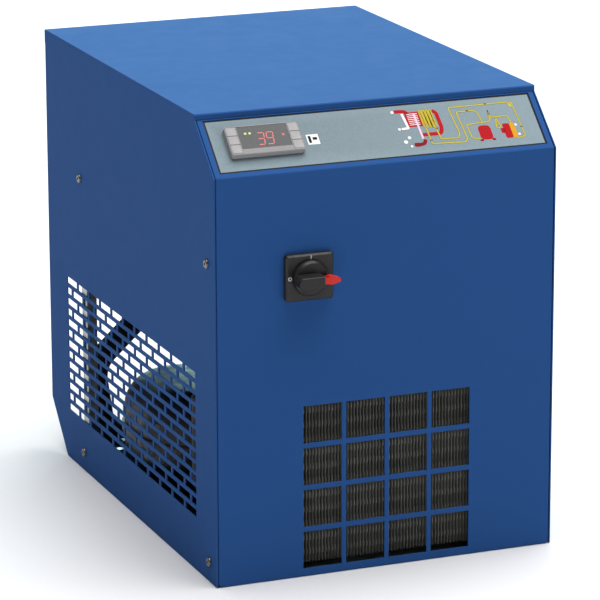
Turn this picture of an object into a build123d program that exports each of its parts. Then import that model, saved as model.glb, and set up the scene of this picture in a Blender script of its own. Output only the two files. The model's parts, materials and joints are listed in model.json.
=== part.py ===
"""Refrigerated compressed-air dryer in a bench-high sheet-metal cabinet.

Frame: origin at the centre of the cabinet's underside, +Z up, the front panel faces -Y and +X is to the
right as seen from the front. All sizes are in millimetres.
"""

from build123d import *
import math
import os

os.makedirs("parts", exist_ok=True)

# ---- driving dimensions -------------------------------------------------------------------------------
WIDTH, DEPTH, HEIGHT = 350.0, 500.0, 450.0
SHEET = 1.2                      # painted sheet steel
PAN_SHEET = 1.5                  # galvanised base pan and posts
SIDE_X = WIDTH / 2
FRONT_Y, REAR_Y = -DEPTH / 2, DEPTH / 2
PANEL_GAP = 0.8                  # shadow gap between front panel and side panels

BEND_Z = 399.0                   # where the front face turns into the sloping control face
CONTROL_TOP_Y, CONTROL_TOP_Z = -200.2, 444.0
LIP_Y, LIP_BOTTOM_Z = -199.6, 444.4
REAR_CUT_Y, REAR_CUT_Z = 50.0, 52.0   # lower rear corner that the side panels leave open

INNER_X = SIDE_X - SHEET
FRONT_X = INNER_X - PANEL_GAP    # half width of the front panel
REAR_SKIN_Y = REAR_Y - SHEET     # rear edge of the side panels, behind the top panel's rear lip

SCREW_ROWS_Z = (20.0, 314.0)
FRONT_SCREW_Y, REAR_SCREW_Y = -230.0, 142.0
SCREW_R, SCREW_HOLE_R, SCREW_HEAD_R, SCREW_HEAD_T = 2.4, 2.6, 4.5, 2.5

# Slotted grille in each side panel, laid like brickwork.
SLOT_LENGTH, SLOT_HEIGHT = 31.0, 7.5
SLOT_PITCH_Y, SLOT_PITCH_Z = 35.4, 11.5
SLOT_COLUMNS, SLOT_ROWS = 11, 13
GRILLE_FRONT_Y, GRILLE_LOW_Z = -195.0, 53.5

# Square air intakes in the front panel.
INTAKE_W, INTAKE_H = 40.0, 37.0
INTAKE_PITCH_X, INTAKE_PITCH_Z = 44.4, 41.8
INTAKE_COUNT, INTAKE_LOW_Z = 4, 26.2

# Control face.
OPENING_W, OPENING_H, OPENING_SHIFT = 335.0, 61.2, 2.1
GASKET_W, RIM_LAP = 1.9, 2.0
CONTROLLER_X, CONTROLLER_SHIFT = -114.8, 3.6
BEZEL_W, BEZEL_H, BEZEL_T, BEZEL_R = 74.0, 32.6, 6.0, 2.5
WINDOW_W, WINDOW_H, WINDOW_SHIFT = 50.0, 25.4, 2.4
KEY_W, KEY_H, KEY_PITCH, KEY_SHIFT, KEY_TRAVEL_GAP = 10.0, 9.5, 9.9, 0.4, 0.9
PLATE_TOP = -0.4                 # outer face of the grey plate, below the painted face

# Rotary main switch.
SWITCH_X, SWITCH_Z = -82.0, 298.0
SWITCH_W, SWITCH_H, SWITCH_T = 48.0, 45.0, 7.0

# Condenser and its fan.
FIN_PITCH, FIN_COUNT, FIN_T = 3.3, 57, 0.3
FIN_FRONT_Y, FIN_REAR_Y, FIN_LOW_Z, FIN_TOP_Z = -240.0, -204.0, 10.0, 183.0
TUBE_R, TUBE_ROWS, TUBE_ROW_PITCH, TUBE_LOW_Z = 4.0, 12, 14.2, 18.5
TUBE_FRONT_Y, TUBE_REAR_Y = -231.0, -213.0
END_PLATE_X, BEND_CENTRE_X = 95.0, 98.0
FAN_Z, FAN_R, FAN_RING_R = 97.0, 70.0, 74.0
SHROUD_Y = -201.8

# Compressor.
COMP_X, COMP_Y, COMP_W, COMP_L, COMP_R = -98.0, 15.0, 132.0, 160.0, 60.0
COMP_FOOT_Z, COMP_SEAM_Z, COMP_TOP_Z = 14.0, 75.0, 128.0
COMP_BOLT_DX, COMP_BOLT_DY, COMP_WALL = 50.0, 92.0, 3.0

# Heat-exchanger coil: an insulated tube-in-tube coil.
COIL_R, COIL_HALF, COIL_BEND = 13.5, 60.0, 58.0
COIL_X, COIL_Y, COIL_LOW_Z, COIL_RISE = 88.0, 22.0, 20.0, 28.0
COIL_CORNERS = 10

# Air side.
PORT_X, PORT_Z, PORT_BORE_R, PORT_LENGTH = 60.0, 340.0, 9.3, 18.0
SEPARATOR_X, SEPARATOR_Y, SEPARATOR_R = 30.0, 185.0, 24.0
SEPARATOR_LOW_Z, SEPARATOR_TOP_Z = 70.0, 172.0
PIPE_R = 12.0                    # insulated air pipes
VALVE_Z = 57.0
SOLENOID_X, DRAIN_RUN_Z = 75.0, 26.0
DRAIN_X, DRAIN_Z, DRAIN_SPIGOT_R = 128.0, 80.0, 4.0
GLAND_X, GLAND_Z, GLAND_BORE_R = 130.0, 300.0, 5.0
LINE_R = 3.2                     # small refrigerant lines


# ---- helpers -------------------------------------------------------------------------------------------
def block(x, y, z):
    """A box from its low and high limits along each axis."""
    size = [b - a for a, b in (x, y, z)]
    middle = [(a + b) / 2 for a, b in (x, y, z)]
    return Pos(*middle) * Box(*size)


def rod_x(x, y, z, r):
    return Pos((x[0] + x[1]) / 2, y, z) * Rot(0, 90, 0) * Cylinder(r, x[1] - x[0])


def rod_y(x, y, z, r):
    return Pos(x, (y[0] + y[1]) / 2, z) * Rot(90, 0, 0) * Cylinder(r, y[1] - y[0])


def rod_z(x, y, z, r):
    return Pos(x, y, (z[0] + z[1]) / 2) * Cylinder(r, z[1] - z[0])


def yz_plate(points, x0, thickness):
    """A plate cut to an outline given as (y, z) points, from x0 towards +X."""
    face = Face(Wire.make_polygon([(x0, y, z) for y, z in points], close=True))
    return extrude(face, amount=thickness, dir=(1, 0, 0))


def pipe(points, r, bends):
    """A round bar along straight runs joined by tangent arcs."""
    path = FilletPolyline(*points, radius=bends)
    start = Plane(origin=path @ 0, z_dir=path % 0)
    return sweep(start * Circle(r), path=path)


def hexagon_y(x, y, z, across_flats):
    """A hexagonal bar along Y."""
    profile = Plane(origin=(x, y[0], z), z_dir=(0, 1, 0)) * RegularPolygon(across_flats / 2, 6, major_radius=False)
    return extrude(profile, amount=y[1] - y[0], dir=(0, 1, 0))


def mirrored(shape):
    """The same piece on the other side of the cabinet."""
    return shape.mirror(Plane.YZ)


def save(name, *shapes):
    """Writes one node: one solid, or several separate ones."""
    solids = [s for shape in shapes for s in shape.solids()]
    export_step(solids[0] if len(solids) == 1 else Compound(children=solids), f"parts/{name}.step")


control_length = math.hypot(CONTROL_TOP_Y - FRONT_Y, CONTROL_TOP_Z - BEND_Z)
control_normal = (0, -(CONTROL_TOP_Z - BEND_Z) / control_length, (CONTROL_TOP_Y - FRONT_Y) / control_length)
CONTROL = Plane(
    origin=(0, (FRONT_Y + CONTROL_TOP_Y) / 2, (BEND_Z + CONTROL_TOP_Z) / 2), x_dir=(1, 0, 0), z_dir=control_normal
)

control_axis = Axis(origin=(0, 0, 0), direction=control_normal)


def on_control(x, y, z, size, radius=0.0):
    """A box lying on the control face: x across, y up the slope, z from low to high out of the face."""
    width, height = size
    outline = RectangleRounded(width, height, radius) if radius else Rectangle(width, height)
    return CONTROL * Pos(x, y, z[0]) * extrude(outline, amount=z[1] - z[0])


# ---- cabinet -------------------------------------------------------------------------------------------
def slot_rectangles():
    """Low and high corner of each grille slot, as (y0, y1, z0, z1)."""
    length = (SLOT_COLUMNS - 1) * SLOT_PITCH_Y + SLOT_LENGTH
    for row in range(SLOT_ROWS):
        z = GRILLE_LOW_Z + row * SLOT_PITCH_Z
        offset = 0.0 if row % 2 == 0 else -SLOT_PITCH_Y / 2
        for column in range(SLOT_COLUMNS + row % 2):
            low = max(0.0, offset + column * SLOT_PITCH_Y)
            high = min(length, offset + column * SLOT_PITCH_Y + SLOT_LENGTH)
            yield GRILLE_FRONT_Y + low, GRILLE_FRONT_Y + high, z, z + SLOT_HEIGHT


def left_side_panel():
    outline = [
        (FRONT_Y, 0), (REAR_SKIN_Y - REAR_CUT_Y, 0), (REAR_SKIN_Y, REAR_CUT_Z), (REAR_SKIN_Y, HEIGHT - SHEET),
        (LIP_Y + SHEET + 0.2, HEIGHT - SHEET), (LIP_Y + SHEET + 0.2, LIP_BOTTOM_Z), (LIP_Y, LIP_BOTTOM_Z),
        (FRONT_Y, BEND_Z),
    ]
    outer = Wire.make_polygon([(-SIDE_X, y, z) for y, z in outline], close=True)
    slots = [
        Wire.make_polygon([(-SIDE_X, y0, z0), (-SIDE_X, y1, z0), (-SIDE_X, y1, z1), (-SIDE_X, y0, z1)], close=True)
        for y0, y1, z0, z1 in slot_rectangles()
    ]
    sheet = extrude(Face(outer, slots), amount=SHEET, dir=(1, 0, 0))
    rear_flange = block((-INNER_X, -162), (REAR_SKIN_Y - SHEET, REAR_SKIN_Y), (REAR_CUT_Z + 4, 446))
    top_flange = block((-INNER_X, -160), (-190, REAR_SKIN_Y - 2), (HEIGHT - 2 * SHEET, HEIGHT - SHEET))
    holes = [
        rod_x((-SIDE_X - 1, -INNER_X + 1), y, z, SCREW_HOLE_R)
        for y in (FRONT_SCREW_Y, REAR_SCREW_Y)
        for z in SCREW_ROWS_Z
    ]
    holes += [rod_y(-167, (REAR_SKIN_Y - 3, REAR_Y + 1), z, SCREW_HOLE_R) for z in REAR_SCREWS_Z]
    return sheet + rear_flange + top_flange - holes


REAR_SCREWS_Z = (90.0, 230.0, 420.0)


def top_panel():
    sheet = block((-SIDE_X, SIDE_X), (LIP_Y, REAR_Y), (HEIGHT - SHEET, HEIGHT))
    front_lip = block((-SIDE_X, SIDE_X), (LIP_Y, LIP_Y + SHEET), (LIP_BOTTOM_Z, HEIGHT))
    rear_lip = block((-SIDE_X, SIDE_X), (REAR_Y - SHEET, REAR_Y), (HEIGHT - 14, HEIGHT))
    shell = sheet + front_lip + rear_lip
    top_edges = shell.edges().filter_by(Axis.X).group_by(Axis.Z)[-1]
    shell = fillet(top_edges, 1.8)
    return shell - [rod_y(x, (REAR_Y - 3, REAR_Y + 1), TOP_SCREW_Z, SCREW_HOLE_R) for x in TOP_SCREWS_X]


TOP_SCREW_Z, TOP_SCREWS_X = HEIGHT - 8.0, (-110.0, 110.0)


def front_panel():
    """One folded sheet: front face, sloping control face, a top tab and a cheek down each side."""
    y, z = FRONT_Y, BEND_Z
    slope_inner_z = CONTROL_TOP_Z - SHEET / control_normal[2]
    bend_inner_z = z - SHEET * (1 - control_normal[2]) / -control_normal[1]
    shell = yz_plate(
        [(y, 0), (y, z), (CONTROL_TOP_Y, CONTROL_TOP_Z), (-180, CONTROL_TOP_Z), (-180, 412), (-215, 380), (-215, 0)],
        -FRONT_X, 2 * FRONT_X,
    )
    bend = [e for e in shell.edges().filter_by(Axis.X) if abs(e.center().Y - y) < 0.01 and e.center().Z > 1]
    shell = fillet(bend, 2.4)
    shell = fillet([e for e in shell.edges().filter_by(Axis.Y) if e.center().Z < 0.1], 4.0)
    rims = [
        e for e in shell.edges()
        if e.center().Y < -220 and abs(abs(e.center().X) - FRONT_X) < 1.3 and abs(e.tangent_at(0.5).X) < 0.9
        and e.center().Z > 0.5
    ]
    shell = fillet(rims, 1.0)
    cavity = yz_plate(
        [(y + SHEET, -1), (y + SHEET, bend_inner_z), (CONTROL_TOP_Y, slope_inner_z),
         (CONTROL_TOP_Y + 0.5, CONTROL_TOP_Z - SHEET), (-179, CONTROL_TOP_Z - SHEET), (-179, -1)],
        -FRONT_X + SHEET, 2 * (FRONT_X - SHEET),
    )
    steps = [(i - (INTAKE_COUNT - 1) / 2) * INTAKE_PITCH_X for i in range(INTAKE_COUNT)]
    rows = [INTAKE_LOW_Z + j * INTAKE_PITCH_Z for j in range(INTAKE_COUNT)]
    cuts = [
        block((cx - INTAKE_W / 2, cx + INTAKE_W / 2), (y - 1, y + 3), (cz - INTAKE_H / 2, cz + INTAKE_H / 2))
        for cx in steps for cz in rows
    ]
    cuts.append(on_control(0, OPENING_SHIFT, (-5, 5), (OPENING_W, OPENING_H)))
    cuts.append(rod_y(SWITCH_X, (y - 1, y + 3), SWITCH_Z, 9.0))
    for side in (-1, 1):
        reach = sorted((side * (FRONT_X + 1), side * (FRONT_X - 3)))
        cuts += [rod_x(reach, FRONT_SCREW_Y, sz, SCREW_HOLE_R) for sz in SCREW_ROWS_Z]
    return shell - cavity - cuts


REAR_PANEL_Y = (REAR_SKIN_Y - 2 * SHEET - 0.1, REAR_SKIN_Y - SHEET - 0.1)
REAR_STRIP_X = 62.0              # the closed strip beside the air outlet starts here
REAR_OPENING_Z = 200.0


def rear_panel():
    upper = block((-172, 172), REAR_PANEL_Y, (REAR_OPENING_Z, 447))
    strip = block((REAR_STRIP_X, 172), REAR_PANEL_Y, (REAR_CUT_Z + 4, REAR_OPENING_Z))
    edge = block((-172, -161), REAR_PANEL_Y, (REAR_CUT_Z + 4, REAR_OPENING_Z))
    through = (REAR_PANEL_Y[0] - 1, REAR_PANEL_Y[1] + 1)
    cuts = [rod_y(x, through, PORT_Z, 15.2) for x in (-PORT_X, PORT_X)]
    cuts += [rod_y(GLAND_X, through, GLAND_Z, 8.2), rod_y(DRAIN_X, through, DRAIN_Z, 6.2)]
    cuts += [rod_y(x, through, z, SCREW_HOLE_R) for x in (-167, 167) for z in REAR_SCREWS_Z]
    cuts += [rod_y(x, through, TOP_SCREW_Z, SCREW_HOLE_R) for x in TOP_SCREWS_X]
    return upper + strip + edge - cuts


PAN_X = INNER_X - 0.2


def base_pan():
    y0, y1 = FRONT_Y + SHEET + 0.4, REAR_SKIN_Y - REAR_CUT_Y
    floor = block((-PAN_X, PAN_X), (-214, y1), (0, PAN_SHEET)) + block((-169, 169), (y0, -214), (0, PAN_SHEET))
    front = block((-165, 165), (y0, y0 + PAN_SHEET), (PAN_SHEET, 6.5))
    rear = block((-165, 165), (y1 - PAN_SHEET, y1), (PAN_SHEET, 14))
    sides = [block(sorted((s * PAN_X, s * (PAN_X - PAN_SHEET))), (-212, 128), (PAN_SHEET, 32)) for s in (-1, 1)]
    return floor + front + rear + sides


def rear_left_post():
    skin = block((-PAN_X, -PAN_X + PAN_SHEET), (130, 146), (PAN_SHEET, 446))
    web = block((-PAN_X + PAN_SHEET, -163), (130, 130 + PAN_SHEET), (PAN_SHEET, 446))
    return skin + web - [
        rod_x((-PAN_X - 1, -PAN_X + 3), REAR_SCREW_Y, z, SCREW_HOLE_R) for z in SCREW_ROWS_Z
    ]


def panel_screw():
    """A button-head socket screw pointing along -Z, with the underside of its head at z = 0."""
    head = Pos(0, 0, SCREW_HEAD_T / 2) * Cylinder(SCREW_HEAD_R, SCREW_HEAD_T)
    head = fillet(head.edges().group_by(Axis.Z)[-1], 1.7)
    socket = extrude(RegularPolygon(1.5, 6, major_radius=False), amount=2)
    shank = Pos(0, 0, -5.0) * Cylinder(SCREW_R, 10.0)
    return head - Pos(0, 0, SCREW_HEAD_T - 1.4) * socket + shank


def screws_on_sides():
    screw = panel_screw()
    return [
        Pos(side * SIDE_X, y, z) * Rot(0, side * 90, 0) * screw
        for side in (-1, 1)
        for y in (FRONT_SCREW_Y, REAR_SCREW_Y)
        for z in SCREW_ROWS_Z
    ]


def screws_on_rear():
    screw = panel_screw()
    face = Rot(-90, 0, 0)
    placed = [Pos(x, REAR_SKIN_Y, z) * face * screw for x in (-167, 167) for z in REAR_SCREWS_Z]
    return placed + [Pos(x, REAR_Y, TOP_SCREW_Z) * face * screw for x in TOP_SCREWS_X]


# ---- controls ------------------------------------------------------------------------------------------
def control_plate():
    """A grey plate that fills the opening, with a rim behind the painted sheet to hold it in."""
    plate = on_control(0, OPENING_SHIFT, (-3.0, PLATE_TOP), (OPENING_W - 2 * GASKET_W, OPENING_H - 2 * GASKET_W))
    rim_size = (OPENING_W + 2 * RIM_LAP, OPENING_H + RIM_LAP)
    rim = on_control(0, OPENING_SHIFT - RIM_LAP / 2, (-3.0, -SHEET - 0.1), rim_size)
    return plate + rim - on_control(CONTROLLER_X, CONTROLLER_SHIFT, (-5, 5), (71, 29))


def control_gasket():
    level = (-SHEET - 0.1, PLATE_TOP - 0.3)
    ring = on_control(0, OPENING_SHIFT, level, (OPENING_W - 0.2, OPENING_H - 0.2))
    return ring - on_control(
        0, OPENING_SHIFT, (-5, 5), (OPENING_W - 2 * GASKET_W + 0.1, OPENING_H - 2 * GASKET_W + 0.1)
    )


bezel_front = PLATE_TOP + BEZEL_T
KEY_COLUMN_X = (WINDOW_W + BEZEL_W) / 4 - 0.1


def controller_bezel():
    body = on_control(CONTROLLER_X, CONTROLLER_SHIFT, (PLATE_TOP, bezel_front), (BEZEL_W, BEZEL_H), BEZEL_R)
    rim = body.faces().sort_by(control_axis)[-1]
    body = chamfer(rim.edges(), 0.4)
    window = on_control(
        CONTROLLER_X, CONTROLLER_SHIFT + WINDOW_SHIFT, (bezel_front - 1.6, bezel_front + 1), (WINDOW_W, WINDOW_H)
    )
    wells = [
        on_control(
            CONTROLLER_X + side * KEY_COLUMN_X, CONTROLLER_SHIFT + KEY_SHIFT,
            (bezel_front - 3.7, bezel_front + 1), (KEY_W + 0.4, 3 * KEY_PITCH),
        )
        for side in (-1, 1)
    ]
    return body - window - wells


def display_window():
    return on_control(
        CONTROLLER_X, CONTROLLER_SHIFT + WINDOW_SHIFT, (bezel_front - 1.6, bezel_front - 0.3),
        (WINDOW_W - 0.2, WINDOW_H - 0.2),
    )


def controller_housing():
    body = on_control(CONTROLLER_X, CONTROLLER_SHIFT, (-58, PLATE_TOP), (70, 28))
    terminals = on_control(CONTROLLER_X, CONTROLLER_SHIFT, (-66, -58), (60, 16))
    return body + terminals


def controller_key(side, row):
    y = CONTROLLER_SHIFT + KEY_SHIFT + row * KEY_PITCH
    x = CONTROLLER_X + side * KEY_COLUMN_X
    low = bezel_front - 3.7 + KEY_TRAVEL_GAP
    cap = on_control(x, y, (low, bezel_front + 0.15), (KEY_W, KEY_H), 0.6)
    top = cap.faces().sort_by(control_axis)[-1]
    return chamfer(top.edges(), 0.25)


def switch_plate():
    y = FRONT_Y
    plate = block(
        (SWITCH_X - SWITCH_W / 2, SWITCH_X + SWITCH_W / 2), (y - SWITCH_T, y),
        (SWITCH_Z - SWITCH_H / 2, SWITCH_Z + SWITCH_H / 2),
    )
    plate = fillet(plate.edges().filter_by(Axis.Y), 2.5)
    plate = chamfer(plate.faces().sort_by(Axis.Y)[0].edges(), 1.6)
    recess = rod_y(SWITCH_X, (y - SWITCH_T - 1, y - SWITCH_T + 1.2), SWITCH_Z, 18.0)
    return plate - recess - rod_y(SWITCH_X, (y - SWITCH_T - 1, y + 1), SWITCH_Z, 5.5)


HANDLE_BASE_Y = FRONT_Y - SWITCH_T + 0.9      # underside of the handle's skirt, in the plate's recess
HANDLE_TOP_Y = HANDLE_BASE_Y - 23.0
GRIP_LEFT, GRIP_RIGHT, GRIP_W = -19.0, 7.0, 10.5
SLIDER_TIP, SLIDER_TAIL, SLIDER_W, SLIDER_TRAVEL = 23.5, -3.0, 6.0, 5.0
SLIDER_NECK = GRIP_RIGHT + SLIDER_TRAVEL + 0.8       # the wide head starts here and stays outside the grip
SLIDER_Y = (HANDLE_TOP_Y + 3.5, HANDLE_TOP_Y + 12.5)


def switch_handle():
    skirt = rod_y(SWITCH_X, (HANDLE_BASE_Y - 7, HANDLE_BASE_Y), SWITCH_Z, 17.0)
    skirt = chamfer(skirt.faces().sort_by(Axis.Y)[0].edges(), 2.0)
    grip = block(
        (SWITCH_X + GRIP_LEFT, SWITCH_X + GRIP_RIGHT), (HANDLE_TOP_Y, HANDLE_BASE_Y - 7),
        (SWITCH_Z - GRIP_W / 2, SWITCH_Z + GRIP_W / 2),
    )
    left_edges = [e for e in grip.edges().filter_by(Axis.Y) if e.center().X < SWITCH_X]
    grip = fillet(left_edges, 4.5)
    grip = fillet(grip.faces().sort_by(Axis.Y)[0].edges(), 1.2)
    slot = block(
        (SWITCH_X + SLIDER_TAIL - SLIDER_TRAVEL - 0.8, SWITCH_X + GRIP_RIGHT + 1),
        (SLIDER_Y[0] - 0.35, SLIDER_Y[1] + 0.35),
        (SWITCH_Z - SLIDER_W / 2 - 0.35, SWITCH_Z + SLIDER_W / 2 + 0.35),
    )
    shaft_socket = block(
        (SWITCH_X - 3, SWITCH_X + 3), (HANDLE_BASE_Y - 9, HANDLE_BASE_Y + 1), (SWITCH_Z - 3, SWITCH_Z + 3)
    )
    return skirt + grip - slot - shaft_socket


def padlock_slider():
    """A flat tongue with a pointed end, seen from the front, with a hole for a padlock shackle."""
    half, head = SLIDER_W / 2, SLIDER_W / 2 + 0.8
    outline = [
        (SLIDER_TAIL, -half), (SLIDER_NECK, -half), (SLIDER_NECK, -head), (SLIDER_NECK + 3.5, -head),
        (SLIDER_TIP, -1.5), (SLIDER_TIP, 1.5), (SLIDER_NECK + 3.5, head), (SLIDER_NECK, head),
        (SLIDER_NECK, half), (SLIDER_TAIL, half),
    ]
    points = [(SWITCH_X + x, SLIDER_Y[0], SWITCH_Z + z) for x, z in outline]
    tongue = extrude(Face(Wire.make_polygon(points, close=True)), amount=SLIDER_Y[1] - SLIDER_Y[0], dir=(0, 1, 0))
    shackle = rod_z(
        SWITCH_X + GRIP_RIGHT + 2.9, (SLIDER_Y[0] + SLIDER_Y[1]) / 2, (SWITCH_Z - 9, SWITCH_Z + 9), 2.2
    )
    return tongue - shackle


def switch_shaft():
    square = block((SWITCH_X - 3, SWITCH_X + 3), (HANDLE_BASE_Y - 9, FRONT_Y), (SWITCH_Z - 3, SWITCH_Z + 3))
    return square + rod_y(SWITCH_X, (FRONT_Y, -212), SWITCH_Z, 4.5)


def switch_body():
    front = FRONT_Y + SHEET
    body = block((SWITCH_X - 22, SWITCH_X + 22), (front, -206), (SWITCH_Z - 22, SWITCH_Z + 22))
    terminals = [
        block((SWITCH_X - 26, SWITCH_X + 26), (-232 + 12 * k, -224 + 12 * k), (SWITCH_Z - 18, SWITCH_Z + 18))
        for k in range(2)
    ]
    return body + terminals - rod_y(SWITCH_X, (front - 1, -210), SWITCH_Z, 4.55)


# ---- condenser and fan ---------------------------------------------------------------------------------
tube_rows_z = [TUBE_LOW_Z + k * TUBE_ROW_PITCH for k in range(TUBE_ROWS)]


def perforated_plate(x0, thickness, y, z):
    """An upright plate across X with a clearance hole for every condenser tube."""
    outer = Wire.make_polygon([(x0, y[0], z[0]), (x0, y[1], z[0]), (x0, y[1], z[1]), (x0, y[0], z[1])], close=True)
    holes = [
        Wire.make_circle(TUBE_R + 0.1, Plane(origin=(x0, ty, tz), z_dir=(1, 0, 0)))
        for ty in (TUBE_FRONT_Y, TUBE_REAR_Y)
        for tz in tube_rows_z
    ]
    return extrude(Face(outer, holes), amount=thickness, dir=(1, 0, 0))


def condenser_fins():
    first = -(FIN_COUNT - 1) / 2 * FIN_PITCH - FIN_T / 2
    fin = perforated_plate(first, FIN_T, (FIN_FRONT_Y, FIN_REAR_Y), (FIN_LOW_Z, FIN_TOP_Z))
    return [Pos(k * FIN_PITCH, 0, 0) * fin for k in range(FIN_COUNT)]


def condenser_end_plates():
    plate = perforated_plate(END_PLATE_X, PAN_SHEET, (-242, -202.2), (PAN_SHEET, 186))
    foot = block((END_PLATE_X + PAN_SHEET, 112), (-242, -202.2), (PAN_SHEET, 2 * PAN_SHEET))
    right = plate + foot
    return [right, mirrored(right)]


def condenser_tubes():
    """One serpentine: up the rear column from the lower left, over at the top, down the front column."""
    edges = []
    bend = TUBE_ROW_PITCH / 2

    def column(y, order):
        rows = [tube_rows_z[k] for k in order]
        for k, z in enumerate(rows):
            side = -1 if k % 2 == 0 else 1
            edges.append(Line((side * BEND_CENTRE_X, y, z), (-side * BEND_CENTRE_X, y, z)))
            if k + 1 < len(rows):
                x, step = -side * BEND_CENTRE_X, rows[k + 1] - z
                edges.append(ThreePointArc((x, y, z), (x - side * bend, y, z + step / 2), (x, y, z + step)))

    column(TUBE_REAR_Y, range(TUBE_ROWS))
    top, middle = tube_rows_z[-1], (TUBE_FRONT_Y + TUBE_REAR_Y) / 2
    over = (TUBE_REAR_Y - TUBE_FRONT_Y) / 2
    edges.append(
        ThreePointArc(
            (-BEND_CENTRE_X, TUBE_REAR_Y, top), (-BEND_CENTRE_X - over, middle, top), (-BEND_CENTRE_X, TUBE_FRONT_Y, top)
        )
    )
    column(TUBE_FRONT_Y, range(TUBE_ROWS - 1, -1, -1))
    path = Wire(edges)
    start = Plane(origin=(-BEND_CENTRE_X, TUBE_REAR_Y, TUBE_LOW_Z), z_dir=(1, 0, 0))
    return sweep(start * Circle(TUBE_R), path=path)


def fan_shroud():
    plate = block((-100, 100), (SHROUD_Y, SHROUD_Y + SHEET), (3, 186))
    ring = rod_y(0, (SHROUD_Y + SHEET, -182), FAN_Z, FAN_RING_R + SHEET)
    rims = [block(x, (SHROUD_Y + SHEET, SHROUD_Y + 12), z) for x, z in (
        ((-100, -98.8), (3, 186)), ((98.8, 100), (3, 186)), ((-98.8, 98.8), (184.8, 186)),
    )]
    return plate + ring + rims - rod_y(0, (SHROUD_Y - 1, -181), FAN_Z, FAN_RING_R)


BRACKET_Y = (-175.0, -172.0)
MOTOR_Y = (-172.0, -122.0)


def fan_bracket():
    disc = rod_y(0, BRACKET_Y, FAN_Z, 30.0) - rod_y(0, (-176, -171), FAN_Z, 8.0)
    arm = block((24, 86), BRACKET_Y, (-4, 4)) + block((82, 86), (SHROUD_Y + SHEET, BRACKET_Y[0]), (-4, 4))
    arms = [Pos(0, 0, FAN_Z) * Rot(0, 45 + 90 * k, 0) * arm for k in range(4)]
    return disc + arms


def fan_motor():
    body = rod_y(0, MOTOR_Y, FAN_Z, 28.0)
    body = fillet(body.edges().filter_by(GeomType.CIRCLE), 5.0)
    box_on_top = block((-12, 12), (-158, -134), (FAN_Z + 24, FAN_Z + 38))
    return body + box_on_top - rod_y(0, (-173, -150), FAN_Z, 3.05)


def fan_shaft():
    return rod_y(0, (-196, -151), FAN_Z, 3.0)


def fan_blades():
    hub = rod_y(0, (-197, -180), FAN_Z, 20.0)
    hub = fillet(hub.faces().sort_by(Axis.Y)[0].edges(), 3.0)
    reach = rod_y(0, (-200, -178), FAN_Z, FAN_R) - rod_y(0, (-201, -177), FAN_Z, 19.0)
    fan = hub
    for k in range(5):
        plate = Pos(45, 0, 0) * Rot(28, 0, 0) * (Box(54, 1.6, 42) - Pos(-28, 0, -26) * Rot(0, 25, 0) * Box(60, 4, 30))
        blade = Pos(0, -188.5, FAN_Z) * Rot(0, 72 * k, 0) * plate
        fan += blade & reach
    return fan - rod_y(0, (-196, -178), FAN_Z, 3.0)


# ---- compressor ----------------------------------------------------------------------------------------
def shell_slice(low, high, grow=0.0):
    outline = RectangleRounded(COMP_W + 2 * grow, COMP_L + 2 * grow, COMP_R + grow)
    return Pos(COMP_X, COMP_Y, low) * extrude(outline, amount=high - low)


bolt_places = [(COMP_X + sx * COMP_BOLT_DX, COMP_Y + sy * COMP_BOLT_DY) for sx in (-1, 1) for sy in (-1, 1)]


def compressor_lower():
    bottom = COMP_FOOT_Z + 2
    shell = fillet(shell_slice(bottom, COMP_SEAM_Z).edges().group_by(Axis.Z)[0], 18.0)
    hollow = fillet(shell_slice(bottom + COMP_WALL, COMP_SEAM_Z + 1, -COMP_WALL).edges().group_by(Axis.Z)[0], 15.0)
    feet = block(
        (COMP_X - COMP_BOLT_DX - 11, COMP_X + COMP_BOLT_DX + 11),
        (COMP_Y - COMP_BOLT_DY - 11, COMP_Y + COMP_BOLT_DY + 11), (COMP_FOOT_Z, COMP_FOOT_Z + 2.5),
    )
    feet = fillet(feet.edges().filter_by(Axis.Z), 9.0)
    feet -= block((COMP_X - 36, COMP_X + 36), (COMP_Y - 60, COMP_Y + 60), (COMP_FOOT_Z - 1, COMP_FOOT_Z + 1.5))
    return shell + feet - hollow - [rod_z(x, y, (COMP_FOOT_Z - 1, COMP_FOOT_Z + 4), 6.2) for x, y in bolt_places]


def compressor_upper():
    dome = fillet(shell_slice(COMP_SEAM_Z, COMP_TOP_Z).edges().group_by(Axis.Z)[-1], 34.0)
    hollow = shell_slice(COMP_SEAM_Z - 1, COMP_TOP_Z - COMP_WALL, -COMP_WALL)
    hollow = fillet(hollow.edges().group_by(Axis.Z)[-1], 31.0)
    band = shell_slice(COMP_SEAM_Z - 4, COMP_SEAM_Z + 4, 2.5) - shell_slice(COMP_SEAM_Z - 6, COMP_SEAM_Z)
    return dome + band - hollow


def compressor_pump():
    """The motor and pump inside the shell, as one block on its mounting stub."""
    low = COMP_FOOT_Z + 2 + COMP_WALL
    return rod_z(COMP_X, COMP_Y, (low, low + 14), 30.0) + rod_z(COMP_X, COMP_Y, (low + 14, 104), 50.0)


def compressor_grommets():
    grommets = []
    for x, y in bolt_places:
        body = rod_z(x, y, (PAN_SHEET, COMP_FOOT_Z), 10.0) + rod_z(x, y, (COMP_FOOT_Z, COMP_FOOT_Z + 2.5), 6.0)
        cap = rod_z(x, y, (COMP_FOOT_Z + 2.5, COMP_FOOT_Z + 8), 9.0)
        grommets.append(body + cap - rod_z(x, y, (0, 40), 4.2))
    return grommets


def compressor_bolts():
    bolts = []
    for x, y in bolt_places:
        stud = rod_z(x, y, (PAN_SHEET, 31), 4.0)
        nut = Pos(x, y, COMP_FOOT_Z + 8) * extrude(RegularPolygon(6.5, 6, major_radius=False), amount=6)
        bolts.append(stud + nut)
    return bolts


def compressor_cover():
    y = COMP_Y - COMP_L / 2
    cover = block((COMP_X - 22, COMP_X + 22), (y - 22, y), (34, 68))
    return fillet(cover.faces().sort_by(Axis.Y)[0].edges(), 4.0)


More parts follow.
